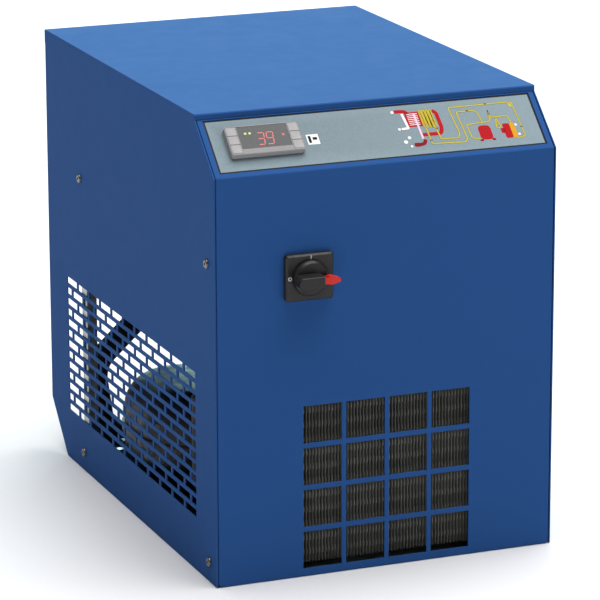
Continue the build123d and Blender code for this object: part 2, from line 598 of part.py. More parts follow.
# ---- refrigerant circuit -------------------------------------------------------------------------------
DRIER_X, DRIER_Y, DRIER_Z = -140.0, -120.0, (60.0, 150.0)
HOT_VALVE_X, HOT_VALVE_Y, HOT_VALVE_Z = 50.0, -80.0, (100.0, 130.0)
comp_right = COMP_X + COMP_W / 2
LINE_X, LINE_Z = -8.0, 40.0      # the lines run along the gap between compressor and coil
SUCTION_Y, SUCTION_R = 30.0, LINE_R + 0.8
coil_left, coil_right = COIL_X - COIL_HALF, COIL_X + COIL_HALF
coil_top_z = COIL_LOW_Z + COIL_RISE / 4 * COIL_CORNERS
COIL_TAP_Z = 84.0                # just inside the insulation of the coil's upper left-hand turn


def discharge_line():
    z, y = LINE_Z, -100.0
    return pipe(
        [(comp_right, 5, z), (LINE_X, 5, z), (LINE_X, y, z), (-122, y, z), (-122, TUBE_REAR_Y, z),
         (-122, TUBE_REAR_Y, TUBE_LOW_Z), (-BEND_CENTRE_X, TUBE_REAR_Y, TUBE_LOW_Z)],
        LINE_R, (8, 12, 12, 9, 9),
    )


def charging_stub():
    """A short copper tube on the back of the shell, closed by pinching."""
    y = COMP_Y + COMP_L / 2
    tube = pipe([(COMP_X, y, 36), (COMP_X, y + 22, 36), (COMP_X - 36, y + 22, 36)], LINE_R, 12)
    pinch = block((COMP_X - 44, COMP_X - 36), (y + 22 - 4.5, y + 22 + 4.5), (35, 37))
    return tube + pinch


def liquid_line():
    return pipe(
        [(-BEND_CENTRE_X, TUBE_FRONT_Y, TUBE_LOW_Z), (DRIER_X, TUBE_FRONT_Y, TUBE_LOW_Z),
         (DRIER_X, DRIER_Y, TUBE_LOW_Z), (DRIER_X, DRIER_Y, DRIER_Z[0] - 10)],
        LINE_R, 12,
    )


def filter_drier():
    low, high = DRIER_Z
    body = rod_z(DRIER_X, DRIER_Y, DRIER_Z, 11.0)
    ends = [Pos(DRIER_X, DRIER_Y, high + 5) * Cone(11.0, 4.0, 10), Pos(DRIER_X, DRIER_Y, low - 5) * Cone(4.0, 11.0, 10)]
    return body + ends


def capillary_tube():
    """A thin tube with a few coiled loops between the drier and the evaporator end of the coil."""
    z = DRIER_Z[1] + 10
    half, rise, first_x = 20.0, 1.1, DRIER_X + 2
    points = [(DRIER_X, DRIER_Y, z), (DRIER_X, DRIER_Y, z + 20)]
    corners = [(0, 1), (2, 1), (2, -1), (0, -1)]
    for k in range(15):
        cx, cy = corners[k % 4]
        points.append((first_x + cx * half, DRIER_Y + cy * half, z + 20 + rise * (k + 1)))
    end = (coil_left, -10)
    points += [(end[0], DRIER_Y - half, z + 38), (*end, z + 38), (*end, COIL_TAP_Z)]
    return pipe(points, 1.2, 8)


def suction_line():
    top = coil_top_z + COIL_R + 14
    return pipe(
        [(comp_right, SUCTION_Y, 62), (LINE_X, SUCTION_Y, 62), (LINE_X, SUCTION_Y, top),
         (coil_left, SUCTION_Y, top), (coil_left, SUCTION_Y, COIL_TAP_Z)],
        SUCTION_R, (9, 12, 12),
    )


def hot_gas_valve():
    x, y, (low, high) = HOT_VALVE_X, HOT_VALVE_Y, HOT_VALVE_Z
    body = rod_z(x, y, (low, low + 18), 9.0) + rod_z(x, y, (low + 18, high), 15.0)
    side = rod_x((x - 16, x - 6), y, low + 9, 5.0)
    return body + side + rod_z(x, y, (high, high + 10), 6.0)


def hot_gas_lines():
    x, y, (low, _) = HOT_VALVE_X, HOT_VALVE_Y, HOT_VALVE_Z
    supply = pipe([(LINE_X + LINE_R, y, LINE_Z), (x, y, LINE_Z), (x, y, low)], LINE_R, 12)
    back = pipe([(x - 16, y, low + 9), (LINE_X, y, low + 9), (LINE_X, SUCTION_Y - SUCTION_R, low + 9)], LINE_R, 12)
    return [supply, back]


def heat_exchanger_coil():
    """Tube-in-tube coil in foam insulation: 2.5 turns that climb a quarter of the rise at each corner."""
    x, y, h = COIL_X, COIL_Y, COIL_HALF
    corners = [(-h, -h), (h, -h), (h, h), (-h, h)]
    points = [(x - h, y + 30, COIL_LOW_Z)]
    for k in range(COIL_CORNERS):
        cx, cy = corners[k % 4]
        points.append((x + cx, y + cy, COIL_LOW_Z + COIL_RISE / 4 * (k + 0.5)))
    points.append((x + h, y + 20, coil_top_z))
    return pipe(points, COIL_R, COIL_BEND)


# ---- air circuit ---------------------------------------------------------------------------------------
PORT_BODY_Y = (REAR_Y - 24.0, REAR_Y + 10.0)


def air_fitting(x):
    body = rod_y(x, PORT_BODY_Y, PORT_Z, 15.0)
    flats = hexagon_y(x, (REAR_PANEL_Y[1], REAR_PANEL_Y[1] + 7), PORT_Z, 36.0)
    nut = hexagon_y(x, (REAR_PANEL_Y[0] - 6, REAR_PANEL_Y[0]), PORT_Z, 36.0)
    bore = rod_y(x, (PORT_BODY_Y[1] - PORT_LENGTH, PORT_BODY_Y[1] + 1), PORT_Z, PORT_BORE_R)
    return body + flats + nut - bore


def air_inlet_pipe():
    """Down from the inlet, round a loop in the lower left corner and along the floor to the coil."""
    x, back, floor = -PORT_X, 205.0, 22.0
    return pipe(
        [(x, PORT_BODY_Y[0], PORT_Z), (x, 190, PORT_Z), (x, back, 170), (-142, back, 95), (-140, 178, floor),
         (-10, 150, floor), (coil_left, 110, COIL_LOW_Z), (coil_left, COIL_Y + 30, COIL_LOW_Z)],
        PIPE_R, (24, 45, 38, 26, 40, 25),
    )


def air_return_pipe():
    y = SEPARATOR_Y - SEPARATOR_R
    return pipe(
        [(coil_right, COIL_Y + 20, coil_top_z), (coil_right, 138, coil_top_z), (SEPARATOR_X, 138, coil_top_z),
         (SEPARATOR_X, y, coil_top_z)],
        PIPE_R, (30, 20),
    )


def separator():
    low, high = SEPARATOR_LOW_Z, SEPARATOR_TOP_Z
    body = rod_z(SEPARATOR_X, SEPARATOR_Y, (low + 14, high - 6), SEPARATOR_R)
    cone = Pos(SEPARATOR_X, SEPARATOR_Y, low + 7) * Cone(9.0, SEPARATOR_R, 14)
    cap = rod_z(SEPARATOR_X, SEPARATOR_Y, (high - 6, high), SEPARATOR_R + 2.5)
    return body + cone + cap


def air_outlet_pipe():
    return pipe(
        [(SEPARATOR_X, SEPARATOR_Y, SEPARATOR_TOP_Z), (SEPARATOR_X, SEPARATOR_Y, 270), (PORT_X, SEPARATOR_Y - 5, PORT_Z),
         (PORT_X, PORT_BODY_Y[0], PORT_Z)],
        PIPE_R, (40, 24),
    )


def drain_valve_body():
    x, y, z = SEPARATOR_X, SEPARATOR_Y, VALVE_Z
    body = rod_z(x, y, (z - 13, SEPARATOR_LOW_Z), 11.0)
    boss = rod_y(x, (y, y + 15), z, 6.0)
    cuts = [rod_z(x, y, (z - 14, SEPARATOR_LOW_Z + 1), 3.5), Pos(x, y, z) * Sphere(7.2), rod_y(x, (y, y + 16), z, 2.65)]
    return body + boss - cuts


def drain_valve_ball():
    x, y, z = SEPARATOR_X, SEPARATOR_Y, VALVE_Z
    ball = Pos(x, y, z) * Sphere(6.9) - rod_z(x, y, (z - 9, z + 9), 3.5)
    stem = rod_y(x, (y + 5.5, y + 20), z, 2.6)
    return ball + stem


def drain_valve_lever():
    x, y, z = SEPARATOR_X, SEPARATOR_Y + 15.6, VALVE_Z
    bar = block((x - 4.5, x + 4.5), (y, y + 2.4), (z - 36, z + 6))
    bar = fillet(bar.edges().filter_by(Axis.Y), 4.0)
    grip = block((x - 6, x + 6), (y - 0.6, y + 4.4), (z - 38, z - 18))
    grip = fillet(grip.edges().filter_by(Axis.Y), 3.0)
    return bar + grip - rod_y(x, (y - 1, y + 5), z, 2.6)


SOLENOID_Z = (14.0, 38.0)


def drain_tubes():
    """Valve to solenoid, and solenoid to the outlet on the rear panel."""
    x, y, z = SEPARATOR_X, SEPARATOR_Y, DRAIN_RUN_Z
    elbow = pipe([(x, y, VALVE_Z - 13), (x, y, z), (SOLENOID_X - 15, y, z)], 5.0, 12)
    outlet = pipe(
        [(SOLENOID_X + 15, y, z), (DRAIN_X, y, z), (DRAIN_X, y + 27, DRAIN_Z), (DRAIN_X, 236, DRAIN_Z)], 4.5, (14, 10)
    )
    return [elbow, outlet]


def solenoid_body():
    x, y, (low, high) = SOLENOID_X, SEPARATOR_Y, SOLENOID_Z
    body = block((x - 15, x + 15), (y - 12, y + 12), (low, high))
    tube = rod_z(x, y, (high, high + 34), 6.0)
    return body + tube - rod_z(x, y, (high - 4, high + 31), 4.55)


def solenoid_coil():
    x, y, high = SOLENOID_X, SEPARATOR_Y, SOLENOID_Z[1]
    body = block((x - 15, x + 15), (y - 13, y + 11), (high + 1, high + 30))
    body = fillet(body.edges().filter_by(Axis.Z), 3.0)
    plug = block((x - 8, x + 8), (y + 11, y + 19.5), (high + 6, high + 26))
    return body + plug - rod_z(x, y, (high, high + 31), 6.1)


def solenoid_plunger():
    x, y, high = SOLENOID_X, SEPARATOR_Y, SOLENOID_Z[1]
    return rod_z(x, y, (high - 3.8, high + 24), 4.5)


def drain_outlet():
    x, z = DRAIN_X, DRAIN_Z
    body = rod_y(x, (236, REAR_Y + 4), z, 6.0)
    outer = hexagon_y(x, (REAR_PANEL_Y[1], REAR_PANEL_Y[1] + 5), z, 16.0)
    nut = hexagon_y(x, (REAR_PANEL_Y[0] - 4, REAR_PANEL_Y[0]), z, 16.0)
    return body + outer + nut + rod_y(x, (REAR_Y + 4, REAR_Y + 20), z, DRAIN_SPIGOT_R)


def cable_gland():
    x, z = GLAND_X, GLAND_Z
    outer = REAR_PANEL_Y[1]
    body = rod_y(x, (outer - 12, outer), z, 8.0) + hexagon_y(x, (outer, outer + 5), z, 22.0)
    cap = rod_y(x, (outer + 5, outer + 17), z, 10.5)
    cap = fillet(cap.faces().sort_by(Axis.Y)[-1].edges(), 3.0)
    nut = hexagon_y(x, (REAR_PANEL_Y[0] - 5, REAR_PANEL_Y[0]), z, 22.0)
    return body + cap + nut - rod_y(x, (outer - 13, outer + 18), z, GLAND_BORE_R)


# ---- every node ----------------------------------------------------------------------------------------
left_panel, left_post = left_side_panel(), rear_left_post()
save("base_pan", base_pan())
save("left_side_panel", left_panel)
save("right_side_panel", mirrored(left_panel))
save("top_panel", top_panel())
save("front_panel", front_panel())
save("rear_panel", rear_panel())
save("rear_posts", left_post, mirrored(left_post))
save("panel_screws", *screws_on_sides(), *screws_on_rear())

save("control_plate", control_plate())
save("control_plate_gasket", control_gasket())
save("controller_bezel", controller_bezel())
save("controller_housing", controller_housing())
save("display_window", display_window())
for side, column in ((-1, "left"), (1, "right")):
    for row, place in ((1, "top"), (0, "middle"), (-1, "bottom")):
        save(f"key_{column}_{place}", controller_key(side, row))

save("switch_plate", switch_plate())
save("switch_handle", switch_handle())
save("padlock_slider", padlock_slider())
save("switch_shaft", switch_shaft())
save("switch_body", switch_body())

save("condenser_fins", *condenser_fins())
save("condenser_tubes", condenser_tubes())
save("condenser_end_plates", *condenser_end_plates())
save("fan_shroud", fan_shroud())
save("fan_bracket", fan_bracket())
save("fan_motor", fan_motor())
save("fan_shaft", fan_shaft())
save("fan_blades", fan_blades())

save("compressor_lower_shell", compressor_lower())
save("compressor_upper_shell", compressor_upper())
save("compressor_pump", compressor_pump())
save("compressor_grommets", *compressor_grommets())
save("compressor_bolts", *compressor_bolts())
save("compressor_terminal_cover", compressor_cover())

save("compressor_copper_tubes", discharge_line(), charging_stub())
save("liquid_line", liquid_line())
save("filter_drier", filter_drier())
save("capillary_tube", capillary_tube())
save("suction_line", suction_line())
save("hot_gas_valve", hot_gas_valve())
save("hot_gas_lines", *hot_gas_lines())
save("heat_exchanger_coil", heat_exchanger_coil())

save("air_port_fittings", air_fitting(-PORT_X), air_fitting(PORT_X))
save("air_inlet_pipe", air_inlet_pipe())
save("air_return_pipe", air_return_pipe())
save("moisture_separator", separator())
save("air_outlet_pipe", air_outlet_pipe())
save("drain_valve_body", drain_valve_body())
save("drain_valve_ball", drain_valve_ball())
save("drain_valve_lever", drain_valve_lever())
save("drain_solenoid_body", solenoid_body())
save("drain_solenoid_coil", solenoid_coil())
save("drain_solenoid_plunger", solenoid_plunger())
save("drain_tubes", *drain_tubes())
save("drain_outlet", drain_outlet())
save("cable_gland", cable_gland())
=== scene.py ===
"""Looks of a refrigerated air dryer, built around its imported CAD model."""

import json
import math

import bpy
from mathutils import Matrix, Vector


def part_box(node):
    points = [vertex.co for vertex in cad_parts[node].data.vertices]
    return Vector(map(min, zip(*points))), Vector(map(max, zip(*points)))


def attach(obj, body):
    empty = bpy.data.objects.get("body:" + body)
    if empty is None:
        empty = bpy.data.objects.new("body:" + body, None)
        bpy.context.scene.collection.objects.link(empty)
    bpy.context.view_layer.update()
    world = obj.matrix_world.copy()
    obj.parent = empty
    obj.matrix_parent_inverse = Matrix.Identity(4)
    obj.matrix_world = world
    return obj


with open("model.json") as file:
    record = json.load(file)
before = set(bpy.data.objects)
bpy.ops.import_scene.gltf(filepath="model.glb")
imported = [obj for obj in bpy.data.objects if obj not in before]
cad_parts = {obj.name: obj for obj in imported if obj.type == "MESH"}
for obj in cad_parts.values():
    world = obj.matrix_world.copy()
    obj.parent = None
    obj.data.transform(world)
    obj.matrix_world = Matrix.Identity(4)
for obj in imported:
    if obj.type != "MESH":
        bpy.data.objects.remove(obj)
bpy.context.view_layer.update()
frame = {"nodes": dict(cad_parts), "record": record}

nodes = frame["nodes"]
record = frame["record"]
MM = 0.001
SMOOTH_ANGLE = math.radians(28)      # edges sharper than this stay crisp

# View: azimuth and elevation of the camera, its roll, what it looks at, and how far away it stands.
AZIMUTH, ELEVATION, ROLL = (math.radians(a) for a in (-21.85, 15.29, -0.13))
TARGET, DISTANCE = Vector((0.0619, 0.1276, 0.1639)), 3.845
LENS, SENSOR = 218.7, 36.0

# Studio: strengths of the sky and of the sun-like overhead softbox, and how far it leans to the right.
SKY_STRENGTH, OVERHEAD_STRENGTH = 0.1, 4.9
OVERHEAD_SPREAD, OVERHEAD_LEAN = math.radians(60), math.radians(8)
CABINET_MIDDLE = (0, 0, 0.25)


# ---- material helpers ----------------------------------------------------------------------------------
class Shader:
    """One Principled material with short ways to add procedural detail. Lengths are in metres."""

    def __init__(self, name, color, roughness, metallic=0.0, specular=0.5):
        self.material = bpy.data.materials.new(name)
        self.material.use_nodes = True
        self.tree = self.material.node_tree
        self.surface = self.tree.nodes["Principled BSDF"]
        self.set("Base Color", (*color, 1.0))
        self.set("Roughness", roughness)
        self.set("Metallic", metallic)
        self.set("Specular IOR Level", specular)
        self.where = self.add("ShaderNodeTexCoord").outputs["Object"]
        self.height = None

    def add(self, kind, **settings):
        node = self.tree.nodes.new(kind)
        for key, value in settings.items():
            setattr(node, key, value)
        return node

    def link(self, source, target):
        self.tree.links.new(source, target)

    def set(self, socket, value):
        self.surface.inputs[socket].default_value = value

    def stretched(self, x, y, z):
        """The object's coordinates with each axis scaled, for grain that runs one way."""
        mapping = self.add("ShaderNodeMapping")
        mapping.inputs["Scale"].default_value = (x, y, z)
        self.link(self.where, mapping.inputs["Vector"])
        return mapping.outputs["Vector"]

    def noise(self, size, detail=3.0, rough=0.55, where=None):
        """Noise between 0 and 1 whose blobs are about `size` metres across."""
        node = self.add("ShaderNodeTexNoise")
        node.inputs["Scale"].default_value = 1.0 / size
        node.inputs["Detail"].default_value = detail
        node.inputs["Roughness"].default_value = rough
        self.link(where or self.where, node.inputs["Vector"])
        return node.outputs["Fac"]

    def cells(self, size, output="Distance", where=None):
        node = self.add("ShaderNodeTexVoronoi")
        node.inputs["Scale"].default_value = 1.0 / size
        self.link(where or self.where, node.inputs["Vector"])
        return node.outputs[output]

    def ramp(self, value, low, high, to_low=0.0, to_high=1.0):
        node = self.add("ShaderNodeMapRange")
        limits = {"From Min": low, "From Max": high, "To Min": to_low, "To Max": to_high}
        for socket, number in limits.items():
            node.inputs[socket].default_value = number
        self.link(value, node.inputs["Value"])
        return node.outputs["Result"]

    def math(self, operation, first, second):
        node = self.add("ShaderNodeMath", operation=operation)
        for socket, value in zip(node.inputs, (first, second)):
            if isinstance(value, (int, float)):
                socket.default_value = value
            else:
                self.link(value, socket)
        return node.outputs[0]

    def tint(self, factor, color):
        """Mixes `color` over the base colour by `factor`."""
        node = self.add("ShaderNodeMix", data_type="RGBA")
        target = self.surface.inputs["Base Color"]
        node.inputs["B"].default_value = (*color, 1.0)
        if target.is_linked:
            self.link(target.links[0].from_socket, node.inputs["A"])
        else:
            node.inputs["A"].default_value = target.default_value[:]
        self.link(factor, node.inputs["Factor"])
        self.link(node.outputs["Result"], target)

    def vary_roughness(self, factor, low, high):
        self.link(self.ramp(factor, 0.3, 0.7, low, high), self.surface.inputs["Roughness"])

    def bump(self, height, depth, strength=1.0):
        """Raises the surface by up to `depth` metres where `height` is 1."""
        node = self.add("ShaderNodeBump")
        node.inputs["Strength"].default_value = strength
        node.inputs["Distance"].default_value = depth
        self.link(height, node.inputs["Height"])
        normal = self.surface.inputs["Normal"]
        if normal.is_linked:
            self.link(normal.links[0].from_socket, node.inputs["Normal"])
        self.link(node.outputs["Normal"], normal)

    def edges(self, low=0.52, high=0.6):
        """1 along sharp outer edges, 0 on flat faces."""
        pointiness = self.add("ShaderNodeNewGeometry").outputs["Pointiness"]
        return self.ramp(pointiness, low, high)


def shade(color):
    """Linear colour from an everyday 0-255 (sRGB) one."""
    channels = (v / 255 for v in color)
    return tuple(c / 12.92 if c <= 0.04045 else ((c + 0.055) / 1.055) ** 2.4 for c in channels)


# ---- materials -----------------------------------------------------------------------------------------
def powder_coat():
    """Smooth blue powder coat: fine orange peel and a barely uneven colour."""
    m = Shader("blue_powder_coat", shade((43, 82, 140)), 0.56, specular=0.02)
    m.set("Specular Tint", (0.55, 0.95, 1.0, 1.0))
    m.tint(m.math("MULTIPLY", m.ramp(m.noise(0.16, 4), 0.35, 0.7), 0.1), shade((37, 74, 130)))
    m.vary_roughness(m.noise(0.02, 5), 0.54, 0.62)
    m.bump(m.noise(0.0016, 2, 0.4), 0.00002, 0.25)
    return m


def galvanised():
    m = Shader("galvanised_steel", shade((176, 176, 168)), 0.42, metallic=0.9)
    m.tint(m.math("MULTIPLY", m.ramp(m.cells(0.009, "Color"), 0.2, 0.9), 0.45), shade((134, 136, 134)))
    m.tint(m.math("MULTIPLY", m.ramp(m.noise(0.05, 5), 0.5, 0.75), 0.35), shade((150, 142, 122)))
    m.vary_roughness(m.noise(0.012, 4), 0.34, 0.55)
    m.bump(m.noise(0.002, 3), 0.00004, 0.4)
    return m


def dark_screw():
    m = Shader("blackened_screw_steel", shade((112, 110, 104)), 0.3, metallic=1.0)
    # painted highlight: the heads' edges are lightened towards pale yellow, as glints
    m.tint(m.math("MULTIPLY", m.edges(), 0.8), shade((196, 186, 160)))
    m.tint(m.math("MULTIPLY", m.ramp(m.noise(0.0012, 4), 0.55, 0.7), 0.5), shade((150, 138, 108)))
    m.bump(m.noise(0.0006, 3), 0.00003, 0.4)
    return m


def zinc_bolt():
    m = Shader("zinc_bolt_steel", shade((170, 168, 160)), 0.3, metallic=1.0)
    m.tint(m.math("MULTIPLY", m.ramp(m.noise(0.003, 4), 0.45, 0.7), 0.4), shade((126, 120, 104)))
    m.bump(m.noise(0.0008, 3), 0.00003, 0.4)
    return m


def moulded(name, color, roughness, grain=0.0006, depth=0.00003, specular=0.4):
    """Injection-moulded plastic with a fine spark-eroded texture, and edges lightened both as slight
    scuffing and as painted highlight.
    """
    m = Shader(name, shade(color), roughness, specular=specular)
    lighter = tuple(min(255, c * 1.15 + 8) for c in color)
    rubbed_and_highlit = tuple(min(255, c * 1.3 + 20) for c in color)
    m.tint(m.math("MULTIPLY", m.ramp(m.noise(grain * 2, 3), 0.4, 0.7), 0.3), shade(lighter))
    # edges lightened: slight scuffing, and a painted highlight along them
    m.tint(m.math("MULTIPLY", m.edges(0.53, 0.62), 0.35), shade(rubbed_and_highlit))
    m.vary_roughness(m.noise(0.006, 4), roughness - 0.06, roughness + 0.08)
    m.bump(m.noise(grain, 2), depth, 0.6)
    return m


def rubber(name, color):
    m = Shader(name, shade(color), 0.75, specular=0.3)
    m.tint(m.math("MULTIPLY", m.ramp(m.noise(0.004, 4), 0.5, 0.75), 0.35), shade((46, 45, 43)))
    m.bump(m.noise(0.0012, 3), 0.00005, 0.5)
    return m


def display_film():
    m = Shader("smoked_display_film", shade((52, 53, 54)), 0.3, specular=0.25)
    m.tint(m.math("MULTIPLY", m.ramp(m.noise(0.03, 2), 0.4, 0.7), 0.35), shade((44, 46, 48)))
    m.vary_roughness(m.noise(0.004, 4), 0.2, 0.3)
    m.bump(m.noise(0.003, 2), 0.00002, 0.25)
    return m


def glowing(name, color, strength):
    m = Shader(name, shade(color), 0.4)
    m.set("Emission Color", (*shade(color), 1.0))
    m.set("Emission Strength", strength)
    m.bump(m.noise(0.0008, 2), 0.00002, 0.2)
    return m


def print_ink(name, color):
    """Silk-screened ink with a slightly grainy, thin coat."""
    m = Shader(name, shade(color), 0.6, specular=0.06)
    darker = tuple(c * 0.82 for c in color)
    m.tint(m.math("MULTIPLY", m.ramp(m.noise(0.0009, 4), 0.45, 0.7), 0.3), shade(darker))
    m.bump(m.noise(0.0005, 2), 0.00001, 0.4)
    return m


def fin_metal():
    """Thin coated aluminium fins, slightly uneven along their edges and dusty in patches."""
    m = Shader("coated_fin_aluminium", shade((122, 122, 116)), 0.6, metallic=0.1, specular=0.3)
    wavy = m.noise(0.0022, 3, where=m.stretched(1, 1, 0.35))
    m.tint(m.math("MULTIPLY", m.ramp(wavy, 0.45, 0.65), 0.35), shade((86, 86, 84)))
    m.tint(m.math("MULTIPLY", m.ramp(m.noise(0.02, 5), 0.5, 0.75), 0.3), shade((104, 98, 86)))
    m.bump(wavy, 0.0001, 0.6)
    return m


def copper():
    m = Shader("drawn_copper", shade((164, 98, 66)), 0.34, metallic=1.0)
    m.tint(m.math("MULTIPLY", m.ramp(m.noise(0.012, 5), 0.45, 0.7), 0.6), shade((120, 72, 50)))
    m.tint(m.math("MULTIPLY", m.ramp(m.noise(0.03, 5), 0.62, 0.75), 0.35), shade((96, 120, 104)))
    m.vary_roughness(m.noise(0.006, 4), 0.28, 0.5)
    m.bump(m.noise(0.0015, 3), 0.00004, 0.4)
    return m


def condenser_tubing():
    """Condenser tubes near black as painted shade inside the cabinet, and pale grey where they run between
    the fins as a painted highlight of their gleam.
    """
    # painted shade: near black base, as shade falls on the tubes inside the cabinet
    m = Shader("condenser_tube_painted_shade_and_glint", shade((34, 31, 30)), 0.5, metallic=0.2)
    axes = m.add("ShaderNodeSeparateXYZ")
    m.link(m.where, axes.inputs["Vector"])
    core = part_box("condenser_fins")[1].x
    # painted highlight: pale grey between the fins, as the gleam of the tubes there
    painted_glint_between_fins = m.ramp(m.math("ABSOLUTE", axes.outputs["X"], 0.0), core, core + MM, 1.0, 0.0)
    m.tint(painted_glint_between_fins, shade((150, 150, 146)))
    m.tint(m.math("MULTIPLY", m.ramp(m.noise(0.006, 4), 0.55, 0.75), 0.3), shade((86, 60, 46)))
    m.bump(m.noise(0.0015, 3), 0.00004, 0.4)
    return m


def copper_in_painted_shade():
    """The compressor's lines and the filter drier, near black as painted shade inside the cabinet, with
    copper showing in patches.
    """
    # painted shade: near black over the copper, as shade falls inside the cabinet
    m = Shader("copper_lines_in_painted_shade", shade((34, 31, 29)), 0.45, specular=0.4)
    m.tint(m.math("MULTIPLY", m.ramp(m.noise(0.008, 5), 0.6, 0.72), 0.6), shade((112, 70, 48)))
    m.bump(m.noise(0.0015, 3), 0.00005, 0.5)
    return m


def brass():
    m = Shader("turned_brass", shade((196, 164, 96)), 0.3, metallic=1.0)
    m.tint(m.math("MULTIPLY", m.ramp(m.noise(0.01, 5), 0.45, 0.7), 0.5), shade((146, 112, 58)))
    m.vary_roughness(m.noise(0.004, 4), 0.24, 0.42)
    rings = m.noise(0.0006, 2, where=m.stretched(0.1, 1, 0.1))
    m.bump(rings, 0.00003, 0.5)
    return m


def enamel():
    m = Shader("black_shell_enamel", shade((30, 30, 31)), 0.36, specular=0.5)
    m.tint(m.math("MULTIPLY", m.ramp(m.noise(0.03, 5), 0.5, 0.75), 0.4), shade((48, 45, 40)))
    m.tint(m.math("MULTIPLY", m.edges(), m.ramp(m.noise(0.003, 4), 0.5, 0.7)), shade((88, 84, 78)))
    m.vary_roughness(m.noise(0.01, 5), 0.3, 0.5)
    m.bump(m.noise(0.0018, 3), 0.00008, 0.5)
    return m


def cast_iron():
    m = Shader("pump_cast_iron", shade((84, 84, 86)), 0.6, metallic=0.7)
    m.tint(m.math("MULTIPLY", m.ramp(m.noise(0.008, 5), 0.45, 0.7), 0.5), shade((60, 54, 48)))
    m.bump(m.noise(0.0015, 4), 0.0002, 0.6)
    return m


def foam():
    """Closed-cell elastomer foam: matt black with small pores and soft waves."""
    m = Shader("black_pipe_foam", shade((36, 36, 37)), 0.85, specular=0.25)
    m.tint(m.math("MULTIPLY", m.ramp(m.noise(0.02, 4), 0.45, 0.75), 0.4), shade((52, 51, 49)))
    # painted shade: the pits of the pores are darkened
    m.tint(m.ramp(m.cells(0.0016), 0.0, 0.25, 0.5, 0.0), shade((20, 20, 20)))
    m.bump(m.cells(0.0016), 0.0002, 0.4)
    m.bump(m.noise(0.014, 3), 0.0012, 0.5)
    return m


def motor_paint():
    m = Shader("motor_black_paint", shade((40, 41, 43)), 0.48, specular=0.45)
    m.tint(m.math("MULTIPLY", m.ramp(m.noise(0.012, 5), 0.5, 0.72), 0.4), shade((60, 58, 54)))
    # edges lightened grey, as wear and as a painted highlight along them
    m.tint(m.math("MULTIPLY", m.edges(), 0.4), shade((98, 98, 98)))
    m.bump(m.noise(0.0012, 3), 0.00006, 0.6)
    return m


def dipped_red():
    m = Shader("dipped_red_vinyl", shade((176, 34, 26)), 0.34, specular=0.5)
    m.tint(m.math("MULTIPLY", m.ramp(m.noise(0.004, 4), 0.5, 0.72), 0.4), shade((140, 24, 20)))
    m.bump(m.noise(0.002, 3), 0.00008, 0.4)
    return m


MATERIALS = {
    "cabinet_paint": powder_coat(),
    "galvanised_steel": galvanised(),
    "screw_steel": dark_screw(),
    "control_plate_plastic": moulded("grey_control_plate", (106, 121, 128), 0.55, 0.0009, 0.00001, 0.15),
    "gasket_rubber": rubber("black_gasket", (24, 24, 25)),
    "bezel_plastic": moulded("grey_bezel", (134, 132, 133), 0.52, 0.0007, 0.00004, 0.2),
    "display_panel": display_film(),
    "key_plastic": moulded("grey_keys", (142, 140, 140), 0.5, 0.0008, 0.00004, 0.2),
    "switch_black": moulded("black_switch", (30, 28, 28), 0.42, 0.0007, 0.00003, 0.35),
    "slider_red": moulded("red_slider", (176, 26, 18), 0.4, 0.0008, 0.00003, 0.3),
    "condenser_aluminium": fin_metal(),
    "copper": copper(),
    "brass_fitting": brass(),
    "black_enamel": enamel(),
    "pump_iron": cast_iron(),
    "foam_insulation": foam(),
    "fan_plastic": moulded("black_fan", (34, 34, 35), 0.42, 0.001, 0.00004, 0.45),
    "motor_metal": motor_paint(),
    "coil_plastic": moulded("black_coil", (30, 30, 32), 0.28, 0.0012, 0.00002, 0.55),
    "tube_plastic": moulded("blue_tube", (44, 78, 150), 0.34, 0.0015, 0.00002, 0.5),
    "lever_red": dipped_red(),
    "housing_plastic": moulded("grey_housing", (70, 70, 73), 0.46, 0.0009, 0.00004),
}
COPPER_IN_PAINTED_SHADE = copper_in_painted_shade()
SPECIAL = {
    "condenser_tubes": condenser_tubing(),
    "compressor_copper_tubes": COPPER_IN_PAINTED_SHADE,
    "filter_drier": COPPER_IN_PAINTED_SHADE,
    "compressor_bolts": zinc_bolt(),
}
INKS = {
    "yellow": print_ink("yellow_ink", (196, 180, 60)),
    "amber": print_ink("amber_ink", (206, 152, 30)),
    "outline": print_ink("outline_ink", (128, 128, 84)),
    "red": print_ink("red_ink", (172, 18, 26)),
    "maroon": print_ink("maroon_ink", (128, 20, 30)),
    "white": print_ink("white_ink", (232, 234, 236)),
    "pink": print_ink("pink_ink", (226, 196, 214)),
    "black": print_ink("black_ink", (26, 26, 28)),
}
GLOW = {
    "digit": glowing("display_red_glow", (206, 74, 70), 0.2),
    "leaf": glowing("display_green_glow", (176, 184, 96), 0.2),
}


def finish_cad_nodes():
    """Gives every CAD node its slot's material and shading that is smooth except across real edges."""
    slot_of = {part["node"]: part["material_slot"] for part in record["subparts"]}
    for name, obj in nodes.items():
        material = SPECIAL.get(name) or MATERIALS[slot_of[name]]
        obj.data.materials.clear()
        obj.data.materials.append(material.material)
        obj.data.shade_smooth()
        obj.data.set_sharp_from_angle(angle=SMOOTH_ANGLE)
        normals = obj.modifiers.new("even_normals", "WEIGHTED_NORMAL")
        normals.keep_sharp, normals.weight = True, 100


# ---- small flat pieces ---------------------------------------------------------------------------------
def face_frame(node, toward):
    """A matrix whose origin is the middle of a node's outermost flat face that looks along `toward`.

    Its columns are +X across, up along the face, and out of it.
    """
    mesh = nodes[node].data
    toward = Vector(toward).normalized()
    facing = [p for p in mesh.polygons if p.normal.dot(toward) > 0.95]
    normal = sum((p.normal * p.area for p in facing), Vector()).normalized()
    across = Vector((1, 0, 0))
    up = normal.cross(across)
    reach = max(v.co.dot(normal) for v in mesh.vertices)
    rim = [v.co for v in mesh.vertices if reach - v.co.dot(normal) < 0.05 * MM]
    middle = [(min(c.dot(a) for c in rim) + max(c.dot(a) for c in rim)) / 2 for a in (across, up)]
    origin = across * middle[0] + up * middle[1] + normal * reach
    turn = Matrix((across, up, normal)).transposed().to_4x4()
    return Matrix.Translation(origin) @ turn


